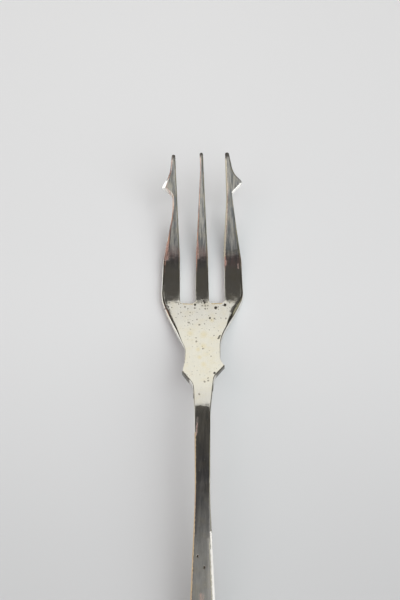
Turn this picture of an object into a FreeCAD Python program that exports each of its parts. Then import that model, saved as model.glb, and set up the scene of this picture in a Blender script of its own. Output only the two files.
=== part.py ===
import FreeCAD
import Part
import Sketcher

import math
import os

from FreeCAD import Placement, Rotation, Vector

# A three-tine pickle fork, stamped from one strip of metal and bent.
# The strip's side profile gives the curved tines, the bowl, the raised neck and the
# falling handle. Blanking cuts give the barbed outline and the two slots. Along that
# whole outline the upper edge is rounded and the lower edge has a small bevel.
# Lengths are in millimetres. While it is drawn, the tips' datum line crosses the long
# axis at the origin, the handle runs towards -Y, and +Z is up. Each distance from the
# tip is taken from that line. The finished fork then stands on its lowest points,
# centred on the origin.

# Each driving size: name, value, and what it measures.
OVERALL_SIZES = [
    ("overall_length", 199.4, "the tips' datum line to the end of the handle"),
    ("blank_half_width", 11.0, "half the width of the strip before the outline is cut"),
    ("blank_margin", 3.0, "what the cuts take past the strip on every side"),
    ("upper_edge_radius", 0.2, "rounding along the upper edge"),
    ("under_edge_bevel", 0.2, "bevel along the lower edge"),
]

# Control points of the side profile: name, distance from the tip, height of the
# underside, thickness there, how much both faces rise at the strip's long edges
# (its dish), and how much thinner the strip is there (its crown, below 0 where the
# edges are thicker, which hollows the bowl above while it rests on a flat underside).
SIDE_STATIONS = [
    ("tine_point", -3.0, 11.8, 0.75, 0.0, 0.0),
    ("tine_fore", 8.0, 6.3, 1.2, 0.0, 0.2),
    ("tine_rear", 20.0, 1.4, 1.6, 0.0, 0.0),
    ("slot_foot", 31.0, -0.25, 1.75, 0.0, -0.3),
    ("bowl_low", 40.5, -0.4, 1.7, 0.0, -0.45),
    ("bowl_rise", 50.0, 2.35, 1.25, 0.2, -0.25),
    ("lug_line", 60.0, 5.8, 1.05, 0.2, -0.1),
    ("neck_rise", 68.0, 7.85, 2.0, 0.1, 0.0),
    ("neck_crest", 77.0, 8.15, 2.8, 0.0, 0.0),
]
# The same for the handle, whose points lie at a share of the way from the neck's crest
# to the handle's end.
HANDLE_STATIONS = [
    ("shank_fore", 0.106, 7.2, 2.55, 0.0, 0.0),
    ("shank_rear", 0.285, 5.2, 2.5, 0.0, 0.2),
    ("handle_fore", 0.53, 2.7, 2.15, 0.0, 0.6),
    ("handle_rear", 0.808, 0.7, 1.9, 0.0, 1.2),
    ("handle_end", 1.028, -0.4, 1.7, 0.0, 1.2),
]

# Corners of the outline, each side from the tip towards the handle: name, distance
# from the tip, distance from the long axis, and the radius that rounds the corner.
LEFT_CORNERS = [
    ("left_tip_outer", -0.15, 7.2, 0.38),
    ("left_flare", 4.6, 7.75, 5.0),
    ("left_barb", 7.05, 9.85, 0.38),
    ("left_throat", 9.2, 7.0, 1.6),
    ("left_tine_low", 14.0, 7.05, 20.0),
    ("left_tine_high", 25.4, 9.1, 25.0),
    ("left_shoulder", 36.9, 9.42, 16.0),
    ("left_waist", 53.6, 3.82, 8.0),
    ("left_lug_foot", 58.0, 3.85, 10.0),
    ("left_lug", 61.9, 4.33, 0.4),
    ("left_lug_root", 66.2, 2.1, 5.0),
]
RIGHT_CORNERS = [
    ("right_tip_outer", -0.65, 6.35, 0.38),
    ("right_flare", 3.9, 7.35, 5.0),
    ("right_barb", 6.25, 9.55, 0.38),
    ("right_throat", 8.8, 7.0, 1.5),
    ("right_tine_high", 25.5, 9.12, 25.0),
    ("right_shoulder", 36.2, 9.42, 9.0),
    ("right_waist", 49.3, 4.1, 18.0),
    ("right_lug_foot", 57.4, 3.93, 2.5),
    ("right_lug", 59.7, 4.8, 0.4),
    ("right_lug_root", 63.7, 2.55, 4.0),
]
NECK_CORNERS = [
    ("neck", 74.3, 1.66, 40.0),
]
# The handle's corners, at a share of the way from the neck's crest to the end.
HANDLE_CORNERS = [
    ("shank", 0.139, 1.5, 150.0),
    ("handle_swell", 0.595, 3.75, 200.0),
    ("handle_broad", 0.873, 6.45, 16.0),
    ("handle_turn", 0.958, 6.0, 7.0),
]

# Corners of the tines' inner edges and of the slot roots, in the same form.
LEFT_TINE_INNER = [
    ("left_tip_inner", -0.15, 6.4, 0.38),
    ("left_inner_bend", 24.0, 5.15, 60.0),
    ("left_root_outer", 38.05, 5.02, 1.1),
]
MIDDLE_TINE_LEFT = [
    ("left_root_inner", 38.05, 1.6, 1.0),
    ("middle_left_bend", 24.0, 1.46, 60.0),
    ("middle_left_lean", 2.8, 0.46, 12.0),
    ("middle_tip_left", -0.6, 0.62, 0.38),
]
RIGHT_TINE_INNER = [
    ("right_tip_inner", -0.65, 5.56, 0.38),
    ("right_inner_belly", 9.5, 5.95, 20.0),
    ("right_inner_bend", 22.5, 5.1, 30.0),
    ("right_root_outer", 37.95, 5.1, 1.2),
]
MIDDLE_TINE_RIGHT = [
    ("right_root_inner", 37.95, 1.58, 1.0),
    ("middle_right_bend", 24.0, 1.34, 60.0),
    ("middle_tip_right", -0.6, 0.2, 0.38),
]
CORNER_LISTS = [
    LEFT_CORNERS,
    RIGHT_CORNERS,
    NECK_CORNERS,
    LEFT_TINE_INNER,
    MIDDLE_TINE_LEFT,
    RIGHT_TINE_INNER,
    MIDDLE_TINE_RIGHT,
]

# The flat facet filed down the outside of the left barb: where the flat meets the
# upper face, its heading and slope in degrees, and the size of the filed-off block.
BARB_FACET_SIZES = [
    ("facet_from_tip", 7.0, "a point of its upper edge, distance from the tip"),
    ("facet_reach", 8.5, "that point, distance from the long axis"),
    ("facet_height", 8.07, "that point, height"),
    ("facet_heading", 162.0, "the way it falls, turned from the right towards the tips"),
    ("facet_pitch", -22.2, "its turn about that way, along the tine's own fall"),
    ("facet_slope", 44.0, "its slope against the upper face"),
    ("facet_length", 7.0, "length of the block, along the facet"),
    ("facet_depth", 4.0, "depth of the block, down and up the facet"),
]

# The handle's last corner sits on its end line, and its rounding follows its reach.
END_CORNER_SIZES = [
    ("handle_tail_reach", 3.0, "end corner, distance from the long axis"),
    ("handle_tail_rounding", 1.35, "end corner, radius as a multiple of that distance"),
]

LEFT = -1
RIGHT = 1


class Length:
    """A length worked out from the sheet: its present value and its expression."""

    def __init__(self, value, text):
        self.value = value
        self.text = text

    def __add__(self, other):
        return Length(self.value + other.value, "(%s + %s)" % (self.text, other.text))

    def __sub__(self, other):
        return Length(self.value - other.value, "(%s - %s)" % (self.text, other.text))

    def __mul__(self, factor):
        return Length(self.value * factor, "(%s * %s)" % (self.text, factor))

    def times(self, share):
        """Return this length times a share that the sheet holds."""
        return Length(self.value * share.value, "(%s * %s)" % (self.text, share.text))

    def __neg__(self):
        return self * -1


class Corner:
    """A corner of an outline: where it is, and the radius that rounds it, if any."""

    def __init__(self, across, along, radius=None):
        self.across = across
        self.along = along
        self.radius = radius

    def spot(self):
        """Return the corner's place as a vector."""
        return Vector(self.across.value, self.along.value, 0)


class Sizes:
    """The document's sheet, which holds every driving size under its name."""

    def __init__(self, doc):
        rows = OVERALL_SIZES + BARB_FACET_SIZES + END_CORNER_SIZES
        for name, place, lift, thickness, dish, crown in SIDE_STATIONS + HANDLE_STATIONS:
            rows.append((name + "_lift", lift, "height of the underside"))
            rows.append((name + "_thickness", thickness, "thickness"))
            rows.append((name + "_dish", dish, "rise of both faces at the long edges"))
            rows.append((name + "_crown", crown, "loss of thickness at the long edges"))
        for name, place, reach, radius in sum(CORNER_LISTS, []) + HANDLE_CORNERS:
            rows.append((name + "_reach", reach, "distance from the long axis"))
            rows.append((name + "_radius", radius, "rounding of the corner"))
        for name, from_tip, *_ in SIDE_STATIONS + sum(CORNER_LISTS, []):
            rows.append((name + "_from_tip", from_tip, "distance from the tip"))
        for name, share, *_ in HANDLE_STATIONS + HANDLE_CORNERS:
            rows.append((name + "_share", share, "share of the way from neck crest to end"))
        sheet = doc.addObject("Spreadsheet::Sheet", "Sizes")
        for number, (alias, value, meaning) in enumerate(rows, start=1):
            sheet.set("A%d" % number, alias)
            sheet.set("B%d" % number, str(value))
            sheet.set("C%d" % number, meaning)
            sheet.setAlias("B%d" % number, alias)
        doc.recompute()
        self.values = {alias: value for alias, value, meaning in rows}

    def length(self, name):
        """Return the length with this name."""
        return Length(self.values[name], "Sizes." + name)

    def from_tip(self, name):
        """Return how far from the tip a named station or corner is."""
        if name + "_from_tip" in self.values:
            return self.length(name + "_from_tip")
        crest = self.length("neck_crest_from_tip")
        return crest + (self.length("overall_length") - crest).times(self.length(name + "_share"))


class Drawing:
    """One sketch with the constraints and sheet expressions that will hold it."""

    def __init__(self, body, name, role):
        self.sketch = body.newObject("Sketcher::SketchObject", name)
        for plane in body.Origin.OriginFeatures:
            if plane.Role == role:
                self.sketch.AttachmentSupport = [(plane, "")]
        self.sketch.MapMode = "FlatFace"
        self.held = []

    def add(self, shape, is_guide=False):
        """Add a line, arc, point or curve and return its number."""
        return self.sketch.addGeometry(shape, is_guide)

    def hold(self, *terms, expression=None):
        """Note a constraint, and the expression that its value follows."""
        self.held.append((Sketcher.Constraint(*terms), expression))

    def hold_point(self, geometry, position, across, along):
        """Hold a point at two lengths from the sketch's origin."""
        self.hold("DistanceX", -1, 1, geometry, position, across.value, expression=across.text)
        self.hold("DistanceY", -1, 1, geometry, position, along.value, expression=along.text)

    def finish(self):
        """Put every noted constraint on the sketch, bind the values and return it."""
        self.sketch.addConstraint([constraint for constraint, expression in self.held])
        for number, (constraint, expression) in enumerate(self.held):
            if expression is not None:
                self.sketch.setExpression("Constraints[%d]" % number, expression)
        return self.sketch


def control_curve(drawing, points):
    """Draw a smooth curve through the pull of its control points."""
    spots = [Vector(across.value, along.value, 0) for across, along in points]
    curve = drawing.add(Part.BSplineCurve(spots, None, None, False, 3, None, False))
    circles = [drawing.add(Part.Circle(spot, Vector(0, 0, 1), 1.0), True) for spot in spots]
    drawing.hold("Weight", circles[0], 1.0)
    for number, (across, along) in enumerate(points):
        if number > 0:
            drawing.hold("Equal", circles[0], circles[number])
        align = "InternalAlignment:Sketcher::BSplineControlPoint"
        drawing.hold(align, circles[number], 3, curve, number)
        drawing.hold_point(circles[number], 3, across, along)
    return curve, spots


def side_profile(body, sizes, name, edge_share):
    """Draw the strip's side profile, at its middle (share 0) or at a long edge (share 1)."""
    drawing = Drawing(body, name, "YZ_Plane")
    under_points = []
    upper_points = []
    for station, *_ in SIDE_STATIONS + HANDLE_STATIONS:
        across = -sizes.from_tip(station)
        under = sizes.length(station + "_lift") + sizes.length(station + "_dish") * edge_share
        thickness = sizes.length(station + "_thickness") - sizes.length(station + "_crown") * edge_share
        under_points.append((across, under))
        upper_points.append((across, under + thickness))
    under_curve, under_spots = control_curve(drawing, under_points)
    upper_curve, upper_spots = control_curve(drawing, upper_points)
    front_line = drawing.add(Part.LineSegment(under_spots[0], upper_spots[0]))
    back_line = drawing.add(Part.LineSegment(under_spots[-1], upper_spots[-1]))
    for line, end in ((front_line, 1), (back_line, 2)):
        drawing.hold("Coincident", line, 1, under_curve, end)
        drawing.hold("Coincident", line, 2, upper_curve, end)
    return drawing.finish()


def make_strip(body, sizes):
    """Loft the bent strip through its two long edges and its middle."""
    left_edge = side_profile(body, sizes, "left_edge_profile", 1)
    left_edge.setExpression("AttachmentOffset.Base.z", "-Sizes.blank_half_width")
    middle = side_profile(body, sizes, "middle_profile", 0)
    right_edge = side_profile(body, sizes, "right_edge_profile", 1)
    right_edge.setExpression("AttachmentOffset.Base.z", "Sizes.blank_half_width")
    strip = body.newObject("PartDesign::AdditiveLoft", "bent_strip")
    strip.Profile = (left_edge, [""])
    strip.Sections = [(middle, [""]), (right_edge, [""])]
    return strip


def corner_arc(before, corner, after, radius):
    """Return the start, middle and finish of the arc that rounds a corner."""
    back = (before - corner).normalize()
    ahead = (after - corner).normalize()
    half_angle = back.getAngle(ahead) / 2
    setback = radius / math.tan(half_angle)
    bisector = (back + ahead).normalize()
    start = corner + back * setback
    middle = corner + bisector * (radius / math.sin(half_angle) - radius)
    finish = corner + ahead * setback
    return start, middle, finish


def draw_corner(drawing, before, corner, after):
    """Draw one corner's arc, and return where the runs on both sides meet it."""
    if corner.radius is None:
        return None, corner.spot(), corner.spot()
    radius = corner.radius.value
    start, middle, finish = corner_arc(before.spot(), corner.spot(), after.spot(), radius)
    arc = drawing.add(Part.Arc(start, middle, finish))
    drawing.hold("Radius", arc, radius, expression=corner.radius.text)
    return arc, start, finish


def arc_end(drawing, arc, spot):
    """Return which end of the arc lies at this spot: 1 or 2."""
    first_gap = drawing.sketch.getPoint(arc, 1).distanceToPoint(spot)
    second_gap = drawing.sketch.getPoint(arc, 2).distanceToPoint(spot)
    return 1 if first_gap < second_gap else 2


def closed_outline(drawing, corners):
    """Draw a closed outline of straight runs, with a tangent arc at each rounded corner."""
    count = len(corners)
    bends = []
    for number, corner in enumerate(corners):
        bends.append(draw_corner(drawing, corners[number - 1], corner, corners[(number + 1) % count]))
    runs = []
    for number, (arc, start, finish) in enumerate(bends):
        next_arc, next_start, next_finish = bends[(number + 1) % count]
        run = drawing.add(Part.LineSegment(finish, next_start))
        if arc is not None:
            drawing.hold("Tangent", run, 1, arc, arc_end(drawing, arc, finish))
        if next_arc is not None:
            drawing.hold("Tangent", run, 2, next_arc, arc_end(drawing, next_arc, next_start))
        runs.append(run)
    for number, corner in enumerate(corners):
        if corner.radius is None:
            drawing.hold("Coincident", runs[number - 1], 2, runs[number], 1)
            drawing.hold_point(runs[number], 1, corner.across, corner.along)
        else:
            guide = drawing.add(Part.Point(corner.spot()), True)
            drawing.hold("PointOnObject", guide, 1, runs[number - 1])
            drawing.hold("PointOnObject", guide, 1, runs[number])
            drawing.hold_point(guide, 1, corner.across, corner.along)


def named_corners(sizes, rows, side):
    """Return the rounded corners of one list, on the left or the right."""
    corners = []
    for name, *_ in rows:
        across = sizes.length(name + "_reach") * side
        along = -sizes.from_tip(name)
        corners.append(Corner(across, along, sizes.length(name + "_radius")))
    return corners


def tip_middle(sizes, outer, inner, outer_side, inner_side):
    """Return the place across a tine's tip where the cuts on its two sides meet."""
    return (sizes.length(outer + "_reach") * outer_side + sizes.length(inner + "_reach") * inner_side) * 0.5


def side_cut_corners(sizes, rows, side, tip_across):
    """List the corners of what is cut away outside one flank, from its tip to the handle's end."""
    margin = sizes.length("blank_margin") * 2
    far_across = (sizes.length("blank_half_width") + margin) * side
    end = -sizes.length("overall_length")
    axis = Length(0.0, "0")
    tip_line = -sizes.from_tip(rows[0][0])
    tail_reach = sizes.length("handle_tail_reach")
    tail = Corner(tail_reach * side, end, tail_reach.times(sizes.length("handle_tail_rounding")))
    corners = [Corner(tip_across, margin), Corner(tip_across, tip_line)]
    corners += named_corners(sizes, rows + NECK_CORNERS + HANDLE_CORNERS, side)
    corners += [tail, Corner(axis, end), Corner(axis, end - margin)]
    corners += [Corner(far_across, end - margin), Corner(far_across, margin)]
    return corners


def slot_corners(sizes, outer_rows, middle_rows, side, tip_across, middle_across):
    """List the corners of one slot, open past the tips."""
    margin = sizes.length("blank_margin") * 2
    outer_tip_line = -sizes.from_tip(outer_rows[0][0])
    middle_tip_line = -sizes.from_tip(middle_rows[-1][0])
    corners = [Corner(tip_across, margin), Corner(tip_across, outer_tip_line)]
    corners += named_corners(sizes, outer_rows + middle_rows[:-1], side)
    corners += named_corners(sizes, middle_rows[-1:], side)
    corners += [Corner(middle_across, middle_tip_line), Corner(middle_across, margin)]
    return corners


def cut_through(body, name, corners):
    """Cut the strip right through inside the outline that these corners give."""
    drawing = Drawing(body, name + "_outline", "XY_Plane")
    closed_outline(drawing, corners)
    cut = body.newObject("PartDesign::Pocket", name)
    cut.Profile = drawing.finish()
    cut.Type = "Length"
    cut.SideType = "Symmetric"
    cut.setExpression("Length", "Sizes.overall_length")
    return cut


def cut_outline(body, sizes):
    """Cut the strip to the fork's outline: both flanks, then both slots."""
    left_tip = tip_middle(sizes, "left_tip_outer", "left_tip_inner", LEFT, LEFT)
    right_tip = tip_middle(sizes, "right_tip_outer", "right_tip_inner", RIGHT, RIGHT)
    middle_tip = tip_middle(sizes, "middle_tip_left", "middle_tip_right", LEFT, RIGHT)
    cut_through(body, "left_flank_cut", side_cut_corners(sizes, LEFT_CORNERS, LEFT, left_tip))
    cut_through(body, "right_flank_cut", side_cut_corners(sizes, RIGHT_CORNERS, RIGHT, right_tip))
    left_slot = slot_corners(sizes, LEFT_TINE_INNER, MIDDLE_TINE_LEFT, LEFT, left_tip, middle_tip)
    cut_through(body, "left_slot_cut", left_slot)
    right_slot = slot_corners(sizes, RIGHT_TINE_INNER, MIDDLE_TINE_RIGHT, RIGHT, right_tip, middle_tip)
    return cut_through(body, "right_slot_cut", right_slot)


def widest_face(shape, looks_up):
    """Return the largest face that looks up, or down."""
    widest = None
    for face in shape.Faces:
        first_u, last_u, first_v, last_v = face.ParameterRange
        normal = face.normalAt((first_u + last_u) / 2, (first_v + last_v) / 2)
        faces_up = normal.z > 0
        if faces_up == looks_up and abs(normal.z) > abs(normal.x) + abs(normal.y):
            if widest is None or face.Area > widest.Area:
                widest = face
    return widest


def rim_names(base, looks_up):
    """Return the names of every edge round the fork's upper or lower face."""
    rim = widest_face(base.Shape, looks_up).Edges
    names = []
    for number, edge in enumerate(base.Shape.Edges, start=1):
        if any(edge.isSame(rim_edge) for rim_edge in rim):
            names.append("Edge%d" % number)
    return names


def recompute(doc):
    """Work the document out again and stop on any failed object."""
    doc.recompute()
    for item in doc.Objects:
        if "Invalid" in item.State or "Error" in item.State:
            raise RuntimeError("%s failed: %s" % (item.Name, item.State))


def finish_edges(doc, body, blank):
    """Round the whole upper edge, then bevel the whole lower edge."""
    recompute(doc)
    rounding = body.newObject("PartDesign::Fillet", "upper_edge_rounding")
    rounding.Base = (blank, rim_names(blank, True))
    rounding.setExpression("Radius", "Sizes.upper_edge_radius")
    recompute(doc)
    bevel = body.newObject("PartDesign::Chamfer", "under_edge_bevel")
    bevel.Base = (rounding, rim_names(rounding, False))
    bevel.setExpression("Size", "Sizes.under_edge_bevel")


def file_barb_facet(body, sizes):
    """Cut the sloping facet on the outside of the left barb."""
    heading = Rotation(Vector(0, 0, 1), sizes.values["facet_heading"])
    pitch = Rotation(Vector(1, 0, 0), sizes.values["facet_pitch"])
    slope = Rotation(Vector(0, 1, 0), sizes.values["facet_slope"])
    depth = sizes.values["facet_depth"]
    length = sizes.values["facet_length"]
    edge = Vector(-sizes.values["facet_reach"], -sizes.values["facet_from_tip"], sizes.values["facet_height"])
    turn = heading.multiply(pitch).multiply(slope)
    block = body.newObject("PartDesign::SubtractiveBox", "left_barb_facet")
    block.setExpression("Length", "Sizes.facet_depth")
    block.setExpression("Width", "Sizes.facet_length")
    block.setExpression("Height", "Sizes.facet_depth")
    block.Placement = Placement(edge - turn.multVec(Vector(depth / 2, length / 2, 0)), turn)


def stand_on_origin(body):
    """Put the fork's lowest point on the ground and its middle over the origin."""
    box = body.Shape.optimalBoundingBox(False)
    middle_x = (box.XMin + box.XMax) / 2
    middle_y = (box.YMin + box.YMax) / 2
    body.Placement.Base = Vector(-middle_x, -middle_y, -box.ZMin)


def check_and_write(body):
    """Stop on a bad solid, then write the fork's file."""
    if body.Shape.isNull() or not body.Shape.isValid():
        raise RuntimeError(body.Label + " has no valid shape")
    os.makedirs("parts", exist_ok=True)
    body.Shape.exportStep("parts/%s.step" % body.Label)


def main():
    """Build the fork and write it."""
    doc = FreeCAD.newDocument("PickleFork")
    sizes = Sizes(doc)
    body = doc.addObject("PartDesign::Body", "pickle_fork")
    body.Label = "pickle_fork"
    make_strip(body, sizes)
    blank = cut_outline(body, sizes)
    finish_edges(doc, body, blank)
    recompute(doc)
    file_barb_facet(body, sizes)
    recompute(doc)
    stand_on_origin(body)
    recompute(doc)
    check_and_write(body)
    print("volume", round(body.Shape.Volume, 1), body.Shape.optimalBoundingBox(False))


if __name__ == "__main__":
    main()
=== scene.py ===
"""A worn silver-plated pickle fork, lying on a plain pale floor."""

import logging
import math
from dataclasses import astuple, dataclass, field, replace
from enum import Enum

import bmesh
import bpy
from mathutils import Matrix, Vector


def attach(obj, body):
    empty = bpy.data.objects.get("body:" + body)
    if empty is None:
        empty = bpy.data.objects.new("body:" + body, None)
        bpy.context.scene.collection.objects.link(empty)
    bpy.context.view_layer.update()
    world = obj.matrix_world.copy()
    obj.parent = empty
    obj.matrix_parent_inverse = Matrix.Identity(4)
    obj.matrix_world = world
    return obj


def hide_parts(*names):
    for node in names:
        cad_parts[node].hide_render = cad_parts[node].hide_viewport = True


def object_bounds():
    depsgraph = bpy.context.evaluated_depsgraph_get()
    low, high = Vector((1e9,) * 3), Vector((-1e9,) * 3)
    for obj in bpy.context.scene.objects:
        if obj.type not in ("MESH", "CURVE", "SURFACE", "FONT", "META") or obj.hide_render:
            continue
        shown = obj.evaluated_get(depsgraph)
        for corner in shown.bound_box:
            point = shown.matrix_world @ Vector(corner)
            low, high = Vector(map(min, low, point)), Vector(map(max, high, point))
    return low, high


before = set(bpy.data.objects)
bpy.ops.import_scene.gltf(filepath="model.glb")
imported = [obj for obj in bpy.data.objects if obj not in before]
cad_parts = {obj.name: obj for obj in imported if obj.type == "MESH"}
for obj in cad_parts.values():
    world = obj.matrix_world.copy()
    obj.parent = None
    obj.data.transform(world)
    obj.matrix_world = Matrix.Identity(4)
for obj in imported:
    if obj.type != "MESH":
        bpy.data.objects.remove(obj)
cad_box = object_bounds()

log = logging.getLogger("pickle_fork")

MM = 0.001


class Side(Enum):
    """The side of the fork's long axis that an outline corner lies on."""

    LEFT = -1
    RIGHT = 1


@dataclass(frozen=True)
class Station:
    """A control point of the side profile, in millimetres.

    Args:
        name: the place on the fork.
        from_tip: distance from the middle tine's tip.
        lift: height of the underside.
        thickness: thickness at the middle.
        dish: how much the underside rises at the strip's long edges.
        crown: how much thinner the strip is at its long edges.
    """

    name: str
    from_tip: float
    lift: float
    thickness: float
    dish: float
    crown: float


@dataclass(frozen=True)
class Corner:
    """A corner of the outline, in millimetres.

    Args:
        name: the place on the fork.
        from_tip: distance from the middle tine's tip.
        reach: distance from the long axis.
        radius: the rounding of the corner. Without one it only sets the rim on a straight run.
        rim: how wide the rounding between the upper face and the wall is here.
        drop: how far that rounding falls, as a share of its width.
    """

    name: str
    from_tip: float
    reach: float
    radius: float
    rim: float
    drop: float = 0.8


@dataclass(frozen=True)
class RingSpot:
    """A point of the outline with its rim's width and drop."""

    spot: Vector
    rim: float
    drop: float


@dataclass(frozen=True)
class OutlinePoint:
    """A point of the finished outline: its place, its way out and its rim's width and fall."""

    across: float
    along: float
    out_across: float
    out_along: float
    rim: float
    fall: float


STRIP_HALF_WIDTH = 11.0

STATIONS = (
    Station("tine_point", -3.0, 11.8, 0.75, 0.0, 0.0),
    Station("tine_fore", 8.0, 6.3, 1.2, 0.0, 0.2),
    Station("tine_rear", 20.0, 1.4, 1.6, 0.0, 0.0),
    Station("slot_foot", 31.0, -0.4, 1.75, 0.0, -0.3),
    Station("bowl_low", 40.5, -0.3, 1.7, 0.0, -0.45),
    Station("bowl_rise", 50.0, 2.35, 1.25, 0.2, -0.25),
    Station("lug_line", 60.0, 5.8, 1.05, 0.2, -0.1),
    Station("neck_rise", 68.0, 8.0, 2.0, 0.1, 0.0),
    Station("neck_crest", 77.0, 8.05, 2.8, 0.0, 0.0),
    Station("shank_fore", 89.97, 7.2, 2.55, 0.0, 0.0),
    Station("shank_rear", 111.88, 5.2, 2.5, 0.0, 0.2),
    Station("handle_fore", 141.87, 2.7, 2.15, 0.0, 0.6),
    Station("handle_rear", 175.9, 0.7, 1.9, 0.0, 1.2),
    Station("handle_end", 202.83, -0.4, 1.7, 0.0, 1.2),
)

LEFT_FLANK = (
    Corner("left_tip_outer", -0.15, 7.2, 0.38, 0.3),
    Corner("left_flare", 4.6, 7.75, 5.0, 0.55, 0.5),
    Corner("left_barb", 7.05, 9.6, 0.38, 0.15),
    Corner("left_throat", 9.2, 7.0, 1.6, 0.3, 0.6),
    Corner("left_tine_low", 14.0, 7.05, 20.0, 0.5, 0.5),
    Corner("left_tine_high", 25.4, 9.1, 25.0, 1.2, 0.45),
    Corner("left_shoulder", 36.9, 9.42, 16.0, 1.1, 0.5),
    Corner("left_shoulder_end", 43.0, 7.3745, 0.0, 1.7, 0.45),
    Corner("left_waist", 53.6, 3.82, 8.0, 0.35),
    Corner("left_lug_foot", 58.0, 3.85, 10.0, 0.3),
    Corner("left_lug", 61.9, 4.33, 0.4, 0.3),
    Corner("left_lug_root", 66.2, 2.1, 5.0, 0.4),
)
RIGHT_FLANK = (
    Corner("right_tip_outer", -0.65, 6.35, 0.38, 0.3),
    Corner("right_flare", 3.9, 7.35, 5.0, 0.4),
    Corner("right_barb", 6.25, 9.55, 0.38, 0.12),
    Corner("right_throat", 8.8, 7.0, 1.5, 0.15),
    Corner("right_tine_high", 25.5, 9.12, 25.0, 0.5),
    Corner("right_shoulder", 36.2, 9.42, 9.0, 1.0, 0.5),
    Corner("right_shoulder_end", 42.0, 7.0645, 0.0, 1.8, 0.45),
    Corner("right_waist", 49.3, 4.1, 18.0, 0.4),
    Corner("right_lug_foot", 57.4, 3.93, 2.5, 0.3),
    Corner("right_lug", 59.7, 4.8, 0.4, 0.3),
    Corner("right_lug_root", 63.7, 2.55, 4.0, 0.4),
)
SHANK = (
    Corner("neck", 74.3, 1.66, 40.0, 0.3),
    Corner("shank", 94.01, 1.5, 150.0, 0.25),
)
HANDLE_END = (
    Corner("handle_broad", 183.86, 6.45, 16.0, 0.6),
    Corner("handle_turn", 194.26, 6.0, 7.0, 0.6),
    Corner("handle_tail", 199.4, 3.0, 4.05, 0.6),
)
LEFT_SWELL = (Corner("handle_swell", 149.83, 3.75, 200.0, 0.5),)
RIGHT_SWELL = (
    Corner("shank_wear", 101.0, 1.7818, 0.0, 0.25),
    Corner("handle_edge", 104.5, 1.9228, 0.0, 0.75, 1.5),
    Corner("handle_swell", 149.83, 3.75, 200.0, 0.8, 1.2),
)
LEFT_EDGE = LEFT_FLANK + SHANK + LEFT_SWELL + HANDLE_END
RIGHT_EDGE = RIGHT_FLANK + SHANK + RIGHT_SWELL + HANDLE_END
LEFT_SLOT_OUTER = (
    Corner("left_tip_inner", -0.15, 6.4, 0.38, 0.3),
    Corner("left_inner_bend", 24.0, 5.15, 60.0, 0.3),
    Corner("left_root_outer", 38.05, 5.02, 1.1, 0.3),
)
LEFT_SLOT_INNER = (
    Corner("left_root_inner", 38.05, 1.6, 1.0, 0.3),
    Corner("middle_left_bend", 24.0, 1.46, 60.0, 0.5, 0.5),
    Corner("middle_left_lean", 2.8, 0.46, 12.0, 0.4, 0.5),
    Corner("middle_tip_left", -0.6, 0.62, 0.38, 0.3),
)
RIGHT_SLOT_OUTER = (
    Corner("right_tip_inner", -0.65, 5.45, 0.38, 0.3),
    Corner("right_inner_belly", 9.5, 5.7, 20.0, 0.5, 1.6),
    Corner("right_inner_bend", 22.5, 4.95, 30.0, 0.5, 1.6),
    Corner("right_root_outer", 37.95, 5.1, 1.2, 0.3),
)
RIGHT_SLOT_INNER = (
    Corner("right_root_inner", 37.95, 1.58, 1.0, 0.3),
    Corner("middle_right_bend", 24.0, 1.34, 60.0, 0.35),
    Corner("middle_tip_right", -0.6, 0.2, 0.38, 0.3),
)


class SideProfile:
    """The strip's curved side profile: the heights of its two faces along the fork."""

    DEGREE = 3
    SAMPLES = 3000

    def __init__(self, stations: tuple[Station, ...]) -> None:
        """Sample both faces' curves.

        Args:
            stations: the control points, from the tips to the handle's end.
        """
        self.along = self.curve([station.from_tip for station in stations])
        self.under = self.curve([station.lift for station in stations])
        self.under_rise = self.curve([station.dish for station in stations])
        self.thickness = self.curve([station.thickness for station in stations])
        self.crown = self.curve([station.crown for station in stations])

    def curve(self, values: list[float]) -> list[float]:
        """Return samples of the smooth curve that these control values pull.

        Args:
            values: one control value for each station.

        Returns:
            The curve's values at even steps of its parameter.
        """
        spans = len(values) - self.DEGREE
        knots = [0.0] * self.DEGREE + [float(step) for step in range(spans + 1)]
        knots += [float(spans)] * self.DEGREE
        samples = []
        for number in range(self.SAMPLES + 1):
            place = spans * number / self.SAMPLES
            span = min(int(place), spans - 1) + self.DEGREE
            pull = list(values[span - self.DEGREE : span + 1])
            for level in range(1, self.DEGREE + 1):
                for slot in range(self.DEGREE, level - 1, -1):
                    low = knots[span - self.DEGREE + slot]
                    high = knots[span + 1 + slot - level]
                    share = (place - low) / (high - low)
                    pull[slot] = pull[slot - 1] * (1 - share) + pull[slot] * share
            samples.append(pull[self.DEGREE])
        return samples

    def read(self, samples: list[float], from_tip: float) -> float:
        """Return a sampled curve's value at a distance from the tip.

        Args:
            samples: the curve, as curve() gives it.
            from_tip: distance from the middle tip.

        Returns:
            The value between the two nearest samples.
        """
        low, high = 0, self.SAMPLES
        while high - low > 1:
            middle = (low + high) // 2
            if self.along[middle] < from_tip:
                low = middle
            else:
                high = middle
        share = (from_tip - self.along[low]) / (self.along[high] - self.along[low])
        return samples[low] * (1 - share) + samples[high] * share

    def heights(self, across: float, from_tip: float) -> tuple[float, float]:
        """Return the heights of the underside and the upper face at a place.

        Args:
            across: distance from the long axis.
            from_tip: distance from the middle tip.

        Returns:
            The underside's height and the upper face's height.
        """
        share = (across / STRIP_HALF_WIDTH) ** 2
        under = self.read(self.under, from_tip) + self.read(self.under_rise, from_tip) * share
        thick = self.read(self.thickness, from_tip) - self.read(self.crown, from_tip) * share
        return under, under + thick


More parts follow.
